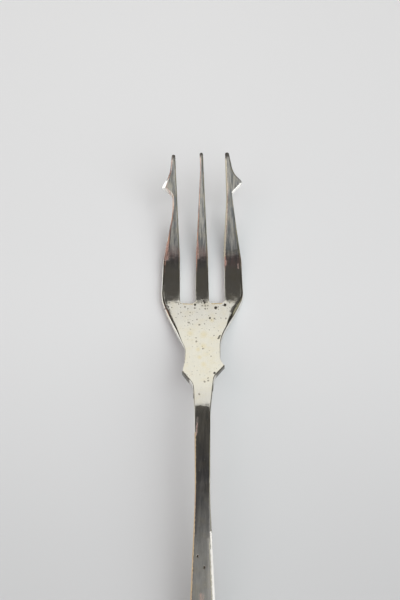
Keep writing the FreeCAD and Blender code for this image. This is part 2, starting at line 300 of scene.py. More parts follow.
@dataclass
class Outline:
    """The fork's outline, seen from above, as a closed ring of points in millimetres."""

    run_step: float = 0.8
    arc_turn: float = math.radians(9.0)
    arc_step: float = 0.6
    rim_share_of_arc: float = 0.8

    def corners(self) -> list[tuple[Corner, Side]]:
        """List every corner, anticlockwise from the left tip.

        Returns:
            The corners with their sides.
        """
        right = RIGHT_EDGE[::-1] + RIGHT_SLOT_OUTER + RIGHT_SLOT_INNER
        slot = (LEFT_SLOT_OUTER + LEFT_SLOT_INNER)[::-1]
        rows = [(corner, Side.LEFT) for corner in LEFT_EDGE]
        rows += [(corner, Side.RIGHT) for corner in right]
        rows += [(corner, Side.LEFT) for corner in slot]
        return rows

    def points(self) -> list[OutlinePoint]:
        """Return the ring of outline points, with arcs at the corners.

        Returns:
            Points in anticlockwise order, none repeated.
        """
        rows = self.corners()
        spots = [Vector((corner.reach * side.value, -corner.from_tip)) for corner, side in rows]
        ring: list[RingSpot] = []
        for number, (corner, side) in enumerate(rows):
            before = spots[number - 1]
            after = spots[(number + 1) % len(spots)]
            ring += self.arc(before, spots[number], after, corner)
        return self.with_ways_out(self.filled(ring))

    def arc(self, before: Vector, spot: Vector, after: Vector, corner: Corner) -> list[RingSpot]:
        """Return the points of the arc that rounds one corner.

        Args:
            before: the corner before this one.
            spot: this corner.
            after: the corner after this one.
            corner: this corner's sizes; without a radius it only sets the rim on a straight run.

        Returns:
            The arc's points, with the rim kept smaller than a convex arc's radius.
        """
        if corner.radius == 0.0:
            return [RingSpot(spot, corner.rim, corner.drop)]
        back = (before - spot).normalized()
        ahead = (after - spot).normalized()
        half = back.angle(ahead) / 2
        setback = corner.radius / math.tan(half)
        bisector = (back + ahead).normalized()
        centre = spot + bisector * (corner.radius / math.sin(half))
        start = spot + back * setback - centre
        sweep = math.pi - 2 * half
        is_convex = (-back).angle_signed(ahead) < 0
        rim = min(corner.rim, corner.radius * self.rim_share_of_arc) if is_convex else corner.rim
        count = max(2, math.ceil(sweep / self.arc_turn), math.ceil(sweep * corner.radius / self.arc_step))
        points = []
        for step in range(count + 1):
            angle = sweep * step / count * (1 if is_convex else -1)
            spoke = Vector((
                start.x * math.cos(angle) - start.y * math.sin(angle),
                start.x * math.sin(angle) + start.y * math.cos(angle),
            ))
            points.append(RingSpot(centre + spoke, rim, corner.drop))
        return points

    def filled(self, ring: list[RingSpot]) -> list[RingSpot]:
        """Divide the straight runs and blend the rim along them.

        Args:
            ring: the points of all the arcs.

        Returns:
            The whole ring, with no run longer than run_step.
        """
        full = []
        for number, here in enumerate(ring):
            ahead = ring[(number + 1) % len(ring)]
            full.append(here)
            count = math.ceil((ahead.spot - here.spot).length / self.run_step)
            for step in range(1, count):
                share = step / count
                ease = share * share * (3 - 2 * share)
                rim = here.rim + (ahead.rim - here.rim) * ease
                drop = here.drop + (ahead.drop - here.drop) * ease
                full.append(RingSpot(here.spot.lerp(ahead.spot, share), rim, drop))
        return full

    def with_ways_out(self, ring: list[RingSpot]) -> list[OutlinePoint]:
        """Give each point the direction that leads straight out of the metal.

        Args:
            ring: the whole ring.

        Returns:
            The finished outline points, in the same order.
        """
        points = []
        for number, here in enumerate(ring):
            before = ring[number - 1].spot
            after = ring[(number + 1) % len(ring)].spot
            back = (here.spot - before).normalized()
            ahead = (after - here.spot).normalized()
            tangent = (back + ahead).normalized()
            fall = here.rim * here.drop
            points.append(OutlinePoint(here.spot.x, here.spot.y, tangent.y, -tangent.x, here.rim, fall))
        return points


def select_only(obj: bpy.types.Object) -> None:
    """Make one object the only selected one, and the active one.

    Args:
        obj: the object.
    """
    bpy.ops.object.select_all(action="DESELECT")
    obj.select_set(True)
    bpy.context.view_layer.objects.active = obj


@dataclass
class BarbFacet:
    """The flat facet filed down the outside of the left barb, in millimetres and degrees.

    The file takes off what lies above a plane. The plane turns from level by its heading,
    then follows the tine's own fall, then slopes outwards.
    """

    from_tip: float = 7.0
    reach: float = 8.5
    height: float = 8.07
    heading: float = 162.0
    pitch: float = -22.2
    slope: float = 38.0
    length: float = 7.0
    depth: float = 4.0

    def file(self, obj: bpy.types.Object) -> None:
        """Cut the facet with a block, which is then deleted.

        Args:
            obj: the bent fork, in millimetres.
        """
        heading = Matrix.Rotation(math.radians(self.heading), 4, "Z")
        pitch = Matrix.Rotation(math.radians(self.pitch), 4, "X")
        slope = Matrix.Rotation(math.radians(self.slope), 4, "Y")
        edge = Matrix.Translation((-self.reach, -self.from_tip, self.height))
        bpy.ops.object.select_all(action="DESELECT")
        bpy.ops.mesh.primitive_cube_add(size=1.0, location=(0.0, 0.0, 0.5))
        block = bpy.context.active_object
        bpy.ops.object.transform_apply(location=True, rotation=True, scale=True)
        size = Matrix.Diagonal((self.depth, self.length, self.depth, 1.0))
        block.data.transform(edge @ heading @ pitch @ slope @ size)
        cut = obj.modifiers.new("filed_facet", "BOOLEAN")
        cut.operation = "DIFFERENCE"
        cut.solver = "EXACT"
        cut.object = block
        select_only(obj)
        bpy.ops.object.modifier_apply(modifier=cut.name)
        bpy.data.objects.remove(block, do_unlink=True)


@dataclass
class ForkPlate:
    """The fork itself: one stamped, bent and polished strip with three barbed tines."""

    name: str = "pickle_fork_metal"
    blank_height: float = 10.0
    under_rim: float = 0.2
    under_steps: int = 3
    rim_steps: int = 5
    head_end: float = 74.0
    row_step: float = 0.7
    handle_row_step: float = 1.6
    column_step: float = 0.9
    level_normal: float = 0.999
    sharp_angle: float = math.radians(32.0)
    outline: Outline = field(default_factory=Outline)
    profile: SideProfile = field(default_factory=lambda: SideProfile(STATIONS))
    facet: BarbFacet = field(default_factory=BarbFacet)
    datum: Vector = field(default_factory=Vector)

    def build(self) -> bpy.types.Object:
        """Model the fork, stand it on the floor and keep where its datum point is.

        Returns:
            The finished object, at the origin.
        """
        points = self.outline.points()
        obj = self.add_foot_ring(points)
        self.raise_wall(obj, points)
        self.close_faces(obj, len(points))
        self.divide_faces(obj)
        self.press_and_bend(obj)
        self.facet.file(obj)
        self.stand_on_origin(obj, points)
        select_only(obj)
        bpy.ops.object.shade_smooth_by_angle(angle=self.sharp_angle)
        log.info("%s: %d faces", self.name, len(obj.data.polygons))
        return obj

    def wall_rings(self) -> list[tuple[float, float, float, float]]:
        """List the rings of the wall, from the underside's edge to the upper face's edge.

        Returns:
            For each ring, how far in it lies as a share of the under rim and of the upper
            rim, its height in the blank without rims, and how far a rim moves it up.
        """
        rings = []
        for step in range(self.under_steps + 1):
            angle = math.pi / 2 * step / self.under_steps
            rings.append((1 - math.sin(angle), 0.0, 0.0, 1 - math.cos(angle)))
        for step in range(self.rim_steps + 1):
            angle = math.pi / 2 * step / self.rim_steps
            rings.append((0.0, 1 - math.cos(angle), self.blank_height, math.sin(angle) - 1))
        return rings

    def add_foot_ring(self, points: list[OutlinePoint]) -> bpy.types.Object:
        """Add a circle and set its points on the outline.

        Args:
            points: the outline's points.

        Returns:
            The ring, as a new object at the origin.
        """
        bpy.ops.object.select_all(action="DESELECT")
        bpy.ops.mesh.primitive_circle_add(vertices=len(points), radius=1.0, fill_type="NOTHING")
        obj = bpy.context.active_object
        obj.name = self.name
        obj.data.name = self.name
        for vertex, point in zip(obj.data.vertices, points):
            vertex.co = (point.across, point.along, 0.0)
        return obj

    def raise_wall(self, obj: bpy.types.Object, points: list[OutlinePoint]) -> None:
        """Extrude the foot ring upwards and set the rings to the wall's two rounded rims.

        Args:
            obj: the foot ring.
            points: the outline's points, in the ring's order.
        """
        rings = self.wall_rings()
        bpy.ops.object.mode_set(mode="EDIT")
        bpy.ops.mesh.select_all(action="SELECT")
        for _ in rings[1:]:
            bpy.ops.mesh.extrude_region_move(TRANSFORM_OT_translate={"value": (0.0, 0.0, 1.0)})
        bpy.ops.object.mode_set(mode="OBJECT")
        vertices = obj.data.vertices
        for number, (under_in, upper_in, height, lift) in enumerate(rings):
            for place, point in enumerate(points):
                inward = under_in * self.under_rim + upper_in * point.rim
                across = point.across - point.out_across * inward
                along = point.along - point.out_along * inward
                fall = point.fall if height else self.under_rim
                vertices[number * len(points) + place].co = (across, along, height + lift * fall)

    def close_faces(self, obj: bpy.types.Object, count: int) -> None:
        """Fill the underside and the upper face, each with one face.

        Args:
            obj: the wall.
            count: how many points each ring has.
        """
        last = len(obj.data.vertices) - count
        for first in (0, last):
            bpy.ops.object.mode_set(mode="EDIT")
            bpy.ops.mesh.select_mode(type="VERT")
            bpy.ops.mesh.select_all(action="DESELECT")
            bpy.ops.object.mode_set(mode="OBJECT")
            for vertex in obj.data.vertices[first : first + count]:
                vertex.select = True
            bpy.ops.object.mode_set(mode="EDIT")
            bpy.ops.mesh.edge_face_add()
        bpy.ops.mesh.select_all(action="SELECT")
        bpy.ops.mesh.normals_make_consistent(inside=False)
        bpy.ops.object.mode_set(mode="OBJECT")

    def cut_places(self) -> list[tuple[Vector, Vector]]:
        """List the planes that divide both faces into a grid.

        Returns:
            For each plane, a point and its normal.
        """
        tip = RIGHT_EDGE[0].from_tip
        end = LEFT_EDGE[-1].from_tip
        cuts = []
        place = tip + self.row_step
        while place < end:
            cuts.append((Vector((0.0, -place, 0.0)), Vector((0.0, 1.0, 0.0))))
            place += self.row_step if place < self.head_end else self.handle_row_step
        place = self.column_step / 2 - STRIP_HALF_WIDTH
        while place < STRIP_HALF_WIDTH:
            cuts.append((Vector((place, 0.0, 0.0)), Vector((1.0, 0.0, 0.0))))
            place += self.column_step
        return cuts

    def divide_faces(self, obj: bpy.types.Object) -> None:
        """Bisect the underside and the upper face, so that they can follow the bends.

        Args:
            obj: the flat blank.
        """
        select_only(obj)
        bpy.ops.object.mode_set(mode="EDIT")
        bpy.ops.mesh.select_mode(type="FACE")
        for spot, normal in self.cut_places():
            self.select_level_faces(obj)
            bpy.ops.mesh.bisect(plane_co=spot, plane_no=normal)
        bpy.ops.object.mode_set(mode="OBJECT")

    def select_level_faces(self, obj: bpy.types.Object) -> None:
        """Select the faces of the flat blank's underside and upper side only.

        Args:
            obj: the flat blank, in edit mode.
        """
        shape = bmesh.from_edit_mesh(obj.data)
        for face in shape.faces:
            face.select_set(abs(face.normal.z) > self.level_normal)
        bmesh.update_edit_mesh(obj.data, loop_triangles=False, destructive=False)

    def press_and_bend(self, obj: bpy.types.Object) -> None:
        """Press the flat blank to its thickness and bend it along the side profile.

        Args:
            obj: the divided blank.
        """
        for vertex in obj.data.vertices:
            low, high = self.profile.heights(vertex.co.x, -vertex.co.y)
            if vertex.co.z < self.blank_height / 2:
                vertex.co.z += low
            else:
                vertex.co.z += high - self.blank_height

    def stand_on_origin(self, obj: bpy.types.Object, points: list[OutlinePoint]) -> None:
        """Set the fork on the CAD model's right, front and lowest sides, in metres.

        Args:
            obj: the bent fork, in millimetres.
            points: the outline's points.
        """
        high = cad_box[1]
        right = max(point.across for point in points)
        front = max(point.along for point in points)
        lowest = min(vertex.co.z for vertex in obj.data.vertices)
        shift = Vector((high[0] - right * MM, high[1] - front * MM, -lowest * MM))
        log.info("long axis at x %.3f mm, datum line at y %.3f mm", shift.x / MM, shift.y / MM)
        self.datum = shift
        for vertex in obj.data.vertices:
            vertex.co = vertex.co * MM + shift


Socket = bpy.types.NodeSocket


@dataclass(frozen=True)
class Tone:
    """A plain colour, of the room's light or of the metal."""

    red: float
    green: float
    blue: float

    def rgba(self) -> tuple[float, float, float, float]:
        """Return the tone as a node colour."""
        return (*astuple(self), 1.0)


@dataclass(frozen=True)
class Ramp:
    """A smooth passage from one number to another, while a value passes from start to end."""

    start: float
    end: float
    before: float = 0.0
    after: float = 1.0


@dataclass(frozen=True)
class Grain:
    """Cloudy noise in millimetres: its fineness, detail, roughness and, if any, its squeeze."""

    scale: float
    detail: float
    roughness: float = 0.5
    squeeze: tuple[float, float, float] | None = None


Value = Socket | Tone | float | tuple[float, ...]


class NodeTools:
    """Adds and links the nodes of one tree."""

    def __init__(self, tree: bpy.types.NodeTree) -> None:
        """Empty the tree.

        Args:
            tree: a material's or a world's nodes.
        """
        self.tree = tree
        tree.nodes.clear()

    def add(self, kind: str, **settings: object) -> bpy.types.Node:
        """Add a node.

        Args:
            kind: the node's type.
            settings: its properties, by name.

        Returns:
            The new node.
        """
        node = self.tree.nodes.new(kind)
        for name, value in settings.items():
            setattr(node, name, value)
        return node

    def feed(self, socket: Socket, value: Value) -> None:
        """Give a socket its value.

        Args:
            socket: the input.
            value: another node's output, which is linked, or a plain value, which is set.
        """
        if isinstance(value, Socket):
            self.tree.links.new(value, socket)
        elif isinstance(value, Tone):
            socket.default_value = value.rgba()
        else:
            socket.default_value = value

    def math(self, operation: str, first: Value, second: Value, clamp: bool = False) -> Socket:
        """Work out one number from two.

        Args:
            operation: the Math node's operation.
            first: the first number.
            second: the second number.
            clamp: whether the result is kept between 0 and 1.

        Returns:
            The result.
        """
        node = self.add("ShaderNodeMath", operation=operation, use_clamp=clamp)
        self.feed(node.inputs[0], first)
        self.feed(node.inputs[1], second)
        return node.outputs[0]

    def times(self, first: Value, second: Value) -> Socket:
        """Multiply two numbers."""
        return self.math("MULTIPLY", first, second)

    def vector(self, operation: str, first: Value, second: Value = (0.0, 0.0, 0.0)) -> bpy.types.Node:
        """Work with two vectors.

        Args:
            operation: the Vector Math node's operation.
            first: the first vector.
            second: the second vector.

        Returns:
            The node, since some operations give a vector and some a number.
        """
        node = self.add("ShaderNodeVectorMath", operation=operation)
        self.feed(node.inputs[0], first)
        self.feed(node.inputs[1], second)
        return node

    def split(self, vector: Socket) -> bpy.types.NodeOutputs:
        """Split a vector.

        Args:
            vector: the vector.

        Returns:
            Its parts, as X, Y and Z.
        """
        node = self.add("ShaderNodeSeparateXYZ")
        self.feed(node.inputs["Vector"], vector)
        return node.outputs

    def steps(self, value: Value, ramp: Ramp) -> Socket:
        """Pass smoothly from one number to another.

        Args:
            value: what drives the passage.
            ramp: where it starts and ends, and the two numbers.

        Returns:
            The number.
        """
        node = self.add("ShaderNodeMapRange", interpolation_type="SMOOTHSTEP")
        self.feed(node.inputs["Value"], value)
        for name, number in zip(("From Min", "From Max", "To Min", "To Max"), astuple(ramp)):
            node.inputs[name].default_value = number
        return node.outputs["Result"]

    def mix(self, share: Value, before: Value, after: Value) -> Socket:
        """Mix two colours.

        Args:
            share: how much of the second colour there is.
            before: the first colour.
            after: the second colour.

        Returns:
            The mixed colour.
        """
        node = self.add("ShaderNodeMix", data_type="RGBA")
        colour_inputs = [socket for socket in node.inputs if socket.type == "RGBA"]
        self.feed(node.inputs["Factor"], share)
        self.feed(colour_inputs[0], before)
        self.feed(colour_inputs[1], after)
        return next(socket for socket in node.outputs if socket.type == "RGBA")

    def noise(self, place: Value, grain: Grain) -> bpy.types.Node:
        """Add cloudy noise.

        Args:
            place: the place in millimetres.
            grain: the noise's settings.

        Returns:
            The noise node.
        """
        if grain.squeeze:
            place = self.vector("MULTIPLY", place, grain.squeeze).outputs[0]
        node = self.add("ShaderNodeTexNoise")
        self.feed(node.inputs["Vector"], place)
        node.inputs["Scale"].default_value = grain.scale
        node.inputs["Detail"].default_value = grain.detail
        node.inputs["Roughness"].default_value = grain.roughness
        return node


@dataclass(frozen=True)
class Band:
    """A band of the room above the far wall: its tone, and the heights that it starts between."""

    name: str
    tone: Tone
    edge: Ramp


@dataclass
class StudioWorld:
    """The room that the polished metal mirrors, painted by direction.

    The ramps work on one part of the direction: across to the right, ahead away from the
    camera, or height upwards, each from -1 to 1.
    """

    far_wall: Tone = Tone(0.945, 0.935, 0.845)
    bands: tuple[Band, ...] = (
        Band("far_wall_top", Tone(0.83, 0.825, 0.78), Ramp(0.30, 0.62)),
        Band("dark_band", Tone(0.076, 0.072, 0.066), Ramp(0.684, 0.694)),
        Band("dark_band_top", Tone(0.050, 0.048, 0.050), Ramp(0.88, 0.92)),
        Band("ceiling", Tone(0.29, 0.29, 0.285), Ramp(0.926, 0.952)),
        Band("zenith", Tone(0.46, 0.46, 0.45), Ramp(0.965, 1.0)),
    )
    left_wall: Tone = Tone(0.62, 0.37, 0.30)
    right_wall: Tone = Tone(0.36, 0.35, 0.26)
    left_window: Tone = Tone(1.3, 1.3, 1.26)
    near_wall: Tone = Tone(0.10, 0.10, 0.10)
    side_dark: Tone = Tone(0.045, 0.042, 0.036)
    side_light_ahead: Ramp = Ramp(0.44, 0.52, 1.0, 0.0)
    side_light_height: Ramp = Ramp(0.25, 0.35)
    left_wall_edge: Ramp = Ramp(-0.42, -0.30)
    right_wall_edge: Ramp = Ramp(0.30, 0.42)
    window_across: Ramp = Ramp(-0.70, -0.60, 1.0, 0.0)
    window_ahead: Ramp = Ramp(0.28, 0.36)
    window_height: Ramp = Ramp(0.24, 0.32, 1.0, 0.0)
    near_wall_edge: Ramp = Ramp(-0.30, -0.12)

    def build(self) -> None:
        """Make the world and give it to the scene."""
        world = bpy.data.worlds.new("plain_room")
        bpy.context.scene.world = world
        world.use_nodes = True
        tools = NodeTools(world.node_tree)
        place = tools.add("ShaderNodeTexCoord")
        across, ahead, height = tools.split(place.outputs["Generated"])
        room: Value = self.far_wall
        for band in self.bands:
            room = tools.mix(tools.steps(height, band.edge), room, band.tone)
        lit = tools.steps(ahead, self.side_light_ahead)
        lit = tools.times(lit, tools.steps(height, self.side_light_height))
        left = tools.mix(lit, self.side_dark, self.left_wall)
        right = tools.mix(lit, self.side_dark, self.right_wall)
        room = tools.mix(tools.steps(across, self.left_wall_edge), left, room)
        room = tools.mix(tools.steps(across, self.right_wall_edge), room, right)
        window = tools.steps(across, self.window_across)
        window = tools.times(window, tools.steps(ahead, self.window_ahead))
        window = tools.times(window, tools.steps(height, self.window_height))
        room = tools.mix(window, room, self.left_window)
        room = tools.mix(tools.steps(ahead, self.near_wall_edge), self.near_wall, room)
        light = tools.add("ShaderNodeBackground")
        tools.feed(light.inputs["Color"], room)
        out = tools.add("ShaderNodeOutputWorld")
        tools.feed(out.inputs["Surface"], light.outputs["Background"])


@dataclass(frozen=True)
class Lamp:
    """A square soft lamp: its name, its direction from the fork, its side in metres and its watts."""

    name: str
    way: tuple[float, float, float]
    size: float
    power: float


@dataclass
class Studio:
    """The floor, the lamps and the camera.

    The view's axis, height, offset and aim are in millimetres, the floor and lamps in metres.
    """

    axis_x: float = 0.035
    view_elevation: float = math.radians(50.0)
    camera_height: float = 242.0
    aim_offset_x: float = -0.5
    aim_y: float = 63.8
    focal_pixels: float = 1385.0
    frame_height: float = 600.0
    sensor_height: float = 36.0
    clip_start: float = 0.01
    floor_size: float = 3.0
    floor_near: Ramp = Ramp(-0.04, 0.07, 0.56, 0.765)
    floor_far: Ramp = Ramp(0.03, 0.20, 1.0, 1.15)
    floor_side: Ramp = Ramp(-0.03, 0.08, 1.0, 0.94)
    floor_tint: Tone = Tone(0.965, 1.0, 1.03)
    lamp_distance: float = 0.9
    lamps: tuple[Lamp, ...] = (
        Lamp("right_lamp", (0.62, -0.85, 1.0), 0.93, 9.0),
        Lamp("left_lamp", (-0.62, -0.5, 1.0), 0.9, 2.0),
    )

    def build(self) -> None:
        """Add everything that stands round the fork."""
        self.add_floor()
        for lamp in self.lamps:
            self.add_lamp(lamp)
        self.add_camera()

    def add_floor(self) -> None:
        """Add the plain pale floor, with painted shade: a little darker towards the camera and the right,
        lighter far away.
        """
        bpy.ops.object.select_all(action="DESELECT")
        bpy.ops.mesh.primitive_plane_add(size=self.floor_size)
        floor = bpy.context.active_object
        floor.name = "floor"
        material = bpy.data.materials.new("pale_floor")
        material.use_nodes = True
        tools = NodeTools(material.node_tree)
        place = tools.add("ShaderNodeTexCoord")
        parts = tools.split(place.outputs["Object"])
        # Painted light and shade: the floor's colour falls off towards the camera and the right.
        near = tools.steps(parts["Y"], self.floor_near)
        far = tools.steps(parts["Y"], self.floor_far)
        side = tools.steps(parts["X"], self.floor_side)
        grey = tools.times(tools.times(near, far), side)
        colour = tools.add("ShaderNodeCombineColor")
        for name, share in zip(("Red", "Green", "Blue"), astuple(self.floor_tint)):
            tools.feed(colour.inputs[name], tools.times(grey, share))
        shader = tools.add("ShaderNodeBsdfDiffuse")
        tools.feed(shader.inputs["Color"], colour.outputs["Color"])
        out = tools.add("ShaderNodeOutputMaterial")
        tools.feed(out.inputs["Surface"], shader.outputs["BSDF"])
        floor.data.materials.append(material)

    def add_lamp(self, lamp: Lamp) -> None:
        """Add a lamp that faces the fork's head.

        Args:
            lamp: its place, size and power.
        """
        light = bpy.data.lights.new(lamp.name, "AREA")
        light.size = lamp.size
        light.energy = lamp.power
        holder = bpy.data.objects.new(lamp.name, light)
        bpy.context.collection.objects.link(holder)
        way = Vector(lamp.way)
        aim = Vector((0.0, self.aim_y * MM, 0.0))
        holder.location = aim + way.normalized() * self.lamp_distance
        holder.rotation_euler = (-way).to_track_quat("-Z", "Y").to_euler()

    def add_camera(self) -> None:
        """Add the camera at the photograph's viewing angle."""
        camera = bpy.data.cameras.new("camera")
        camera.sensor_fit = "VERTICAL"
        camera.sensor_height = self.sensor_height
        camera.lens = self.sensor_height * self.focal_pixels / self.frame_height
        camera.clip_start = self.clip_start
        holder = bpy.data.objects.new("camera", camera)
        bpy.context.collection.objects.link(holder)
        back = self.camera_height / math.tan(self.view_elevation)
        aim_x = self.axis_x + self.aim_offset_x
        holder.location = Vector((aim_x, self.aim_y - back, self.camera_height)) * MM
        holder.rotation_euler = (math.pi / 2 - self.view_elevation, 0.0, 0.0)
        bpy.context.scene.camera = holder


@dataclass(frozen=True)
class Spot:
    """A round mark on the upper face, in millimetres."""

    across: float
    from_tip: float
    radius: float


@dataclass(frozen=True)
class Stroke:
    """A long mark on the upper face, between two places, in millimetres."""

    across: float
    from_tip: float
    end_across: float
    end_from_tip: float
    radius: float


DEEP_PITS = (
    Spot(0.02, 36.7, 0.24),
    Spot(0.31, 37.4, 0.27),
    Spot(0.54, 37.9, 0.24),
    Spot(3.03, 39.6, 0.36),
    Spot(5.14, 38.7, 0.34),
    Spot(-1.61, 38.6, 0.26),
    Spot(1.71, 42.8, 0.27),
    Spot(-8.33, 39.7, 0.16),
    Spot(-7.63, 39.4, 0.22),
    Spot(2.58, 62.5, 0.32),
    Spot(-0.95, 106.35, 0.22),
    Spot(0.3, 108.65, 0.24),
)
FAINT_PITS = (
    Spot(0.70, 38.8, 0.24),
    Spot(-0.05, 38.8, 0.18),
    Spot(1.26, 38.8, 0.20),
    Spot(0.67, 39.8, 0.24),
    Spot(1.19, 39.7, 0.20),
    Spot(-1.69, 39.6, 0.26),
    Spot(-3.88, 39.2, 0.22),
    Spot(2.69, 43.0, 0.26),
    Spot(5.28, 43.0, 0.24),
    Spot(-1.17, 43.3, 0.22),
    Spot(-2.97, 44.4, 0.28),
    Spot(-0.66, 45.1, 0.27),
    Spot(-6.91, 42.6, 0.20),
    Spot(2.58, 48.9, 0.18),
    Spot(-1.38, 49.7, 0.18),
    Spot(-1.29, 51.0, 0.30),
    Spot(0.17, 53.6, 0.26),
    Spot(1.89, 56.4, 0.20),
    Spot(1.18, 64.3, 0.21),
    Spot(1.22, 65.2, 0.28),
    Spot(0.44, 65.6, 0.28),
    Spot(-0.67, 69.5, 0.25),
)
YELLOW_STAINS = (
    Spot(-2.64, 48.2, 0.85),
    Spot(0.34, 48.5, 1.1),
    Spot(0.26, 52.6, 0.9),
    Spot(-0.93, 53.9, 0.7),
    Spot(0.27, 59.3, 0.8),
    Spot(2.18, 43.6, 0.7),
    Spot(-0.6, 56.8, 0.6),
)
# Painted highlights: thin orange-yellow lines along the slot roots, a reflection of the bright far wall
# painted into the colour.
ORANGE_SLOT_RIMS = (
    Stroke(2.3, 38.2, 4.3, 38.15, 0.25),
    Stroke(-4.3, 38.25, -2.2, 38.3, 0.16),
)
BROWN_CLOUDS = (
    Stroke(-7.6, 24.0, -5.6, 24.0, 2.6),
    Stroke(-0.5, 24.0, 0.8, 24.0, 2.6),
    Stroke(6.2, 26.0, 8.3, 26.0, 2.6),
)
# Painted shade: dark olive lines along the lug, waist and tine edges, a dark reflection of the shadowed
# floor painted into the colour.
OLIVE_EDGES = (
    Stroke(3.50, 50.0, 3.90, 48.9, 0.28),
    Stroke(-4.25, 62.0, -2.95, 64.7, 0.34),
    Stroke(-2.95, 64.7, -1.85, 70.5, 0.24),
    Stroke(4.75, 59.8, 3.1, 62.7, 0.30),
    Stroke(3.1, 62.7, 2.0, 68.5, 0.18),
    Stroke(-8.9, 5.6, -9.75, 7.05, 0.14),
    Stroke(6.45, 0.0, 7.05, 2.8, 0.28),
    Stroke(7.05, 2.8, 9.2, 5.9, 0.16),
)
COPPER_EDGES = (
    Stroke(-8.25, 21.0, -8.2, 25.4, 0.75),
    Stroke(-7.3, 3.8, -7.95, 5.6, 0.22),
    Stroke(-7.95, 5.6, -8.55, 7.5, 0.22),
    Stroke(-8.55, 7.5, -7.5, 8.8, 0.20),
    Stroke(-0.95, 20.5, -0.9, 25.2, 0.38),
    Stroke(5.4, 25.8, 5.4, 27.0, 0.38),
    Stroke(8.25, 26.8, 8.3, 28.0, 0.20),
    Stroke(-1.0, 75.8, -1.3, 80.0, 0.28),
    Stroke(-0.2, 114.2, -0.15, 117.0, 0.6),
)
# Painted highlight: a cream line along the right tine's inner edge, a rim reflection painted into the
# colour.
CREAM_EDGES = (
    Stroke(5.62, 1.0, 5.80, 7.1, 0.27),
    Stroke(5.80, 7.1, 5.74, 11.9, 0.27),
    Stroke(5.74, 11.9, 5.40, 18.0, 0.27),
    Stroke(5.40, 18.0, 5.15, 24.5, 0.27),
)
# Painted highlight: a warm gold line along the shank's left edge, a rim reflection painted into the colour.
GOLD_EDGES = (
    Stroke(-1.50, 79.5, -1.45, 90.4, 0.19),
    Stroke(-1.45, 90.4, -1.68, 101.0, 0.19),
    Stroke(-1.68, 101.0, -2.25, 114.9, 0.20),
    Stroke(-2.25, 114.9, -3.62, 149.0, 0.20),
)
# Painted highlight: the left barb's filed facet painted white so that it shines.
BRIGHT_FACET = (
    Stroke(-8.3, 5.2, -9.2, 7.1, 0.6),
)
# Painted sheen: a soft light band along the shank's right side.
EDGE_GLOW = (
    Stroke(1.50, 90.0, 1.45, 103.0, 0.30),
    Stroke(1.35, 103.0, 1.5, 109.0, 0.65),
    Stroke(1.5, 109.0, 1.65, 116.0, 0.85),
)
# Painted highlights: white lines along the barb edges and the shank's right edge, lamp reflections painted
# into the colour.
WHITE_EDGES = (
    Stroke(-9.3, 7.45, -7.5, 9.1, 0.24),
    Stroke(9.25, 6.65, 7.25, 8.75, 0.3),
    Stroke(1.60, 101.4, 1.78, 105.0, 0.20),
    Stroke(1.83, 105.0, 2.18, 114.9, 0.42),
    Stroke(2.18, 114.9, 3.58, 149.8, 0.45),
    Stroke(3.58, 149.8, 6.2, 183.0, 0.45),
)
DARK_TIPS = (
    Spot(-6.8, 0.0, 0.95),
    Spot(-0.12, -0.6, 0.95),
    Spot(5.95, -0.5, 1.2),
)


@dataclass(frozen=True)
class Wear:
    """One kind of mark painted on the plating: some are real wear and stains, some are painted highlights
    and painted shade.

    Args:
        marks: its spots and strokes.
        tone: the colour that it paints.
        share: how much of that colour shows.
        firm: the share of a mark's radius that is full before it fades.
        dull: how much of the metal's mirror it takes away.
        patchy: how much lengthwise noise breaks it up.
    """

    marks: tuple[Spot | Stroke, ...]
    tone: Tone
    share: float
    firm: float
    dull: float
    patchy: float = 0.0


# Real wear and stains, and painted light: the slot-root, cream, warm, facet, sheen and white lines are
# painted highlights, and the dark edge lines are painted shade.
WEAR = (
    Wear(BROWN_CLOUDS, Tone(0.62, 0.47, 0.44), 0.9, 0.1, 0.05, 0.5),
    Wear(YELLOW_STAINS, Tone(0.80, 0.70, 0.46), 0.55, 0.0, 0.0),
    Wear(ORANGE_SLOT_RIMS, Tone(0.66, 0.48, 0.18), 0.9, 0.3, 0.5),
    Wear(OLIVE_EDGES, Tone(0.07, 0.065, 0.045), 0.9, 0.25, 0.4),
    Wear(COPPER_EDGES, Tone(0.55, 0.31, 0.25), 0.7, 0.0, 0.6, 0.7),
    Wear(CREAM_EDGES, Tone(0.68, 0.66, 0.50), 0.8, 0.4, 0.8),
    Wear(GOLD_EDGES, Tone(0.62, 0.48, 0.27), 0.9, 0.3, 0.8),
    Wear(BRIGHT_FACET, Tone(1.0, 1.0, 0.98), 1.0, 0.6, 0.0),
    Wear(EDGE_GLOW, Tone(0.72, 0.72, 0.69), 0.4, 0.0, 0.6),
    Wear(WHITE_EDGES, Tone(0.97, 0.96, 0.93), 0.95, 0.3, 0.9),
    Wear(DARK_TIPS, Tone(0.035, 0.03, 0.022), 0.9, 0.3, 0.6),
    Wear(FAINT_PITS, Tone(0.13, 0.11, 0.07), 0.75, 0.2, 0.5),
    Wear(DEEP_PITS, Tone(0.03, 0.024, 0.016), 1.0, 0.5, 0.4),
)


@dataclass(frozen=True)
class Ground:
    """The nodes that tell where a point of the metal is.

    Args:
        tools: the material's nodes.
        place: its place in millimetres.
        from_tip: its distance from the middle tip in millimetres.
        upper: how far it belongs to the upper side, from 0 to 1.
    """

    tools: NodeTools
    place: Socket
    from_tip: Socket
    upper: Socket


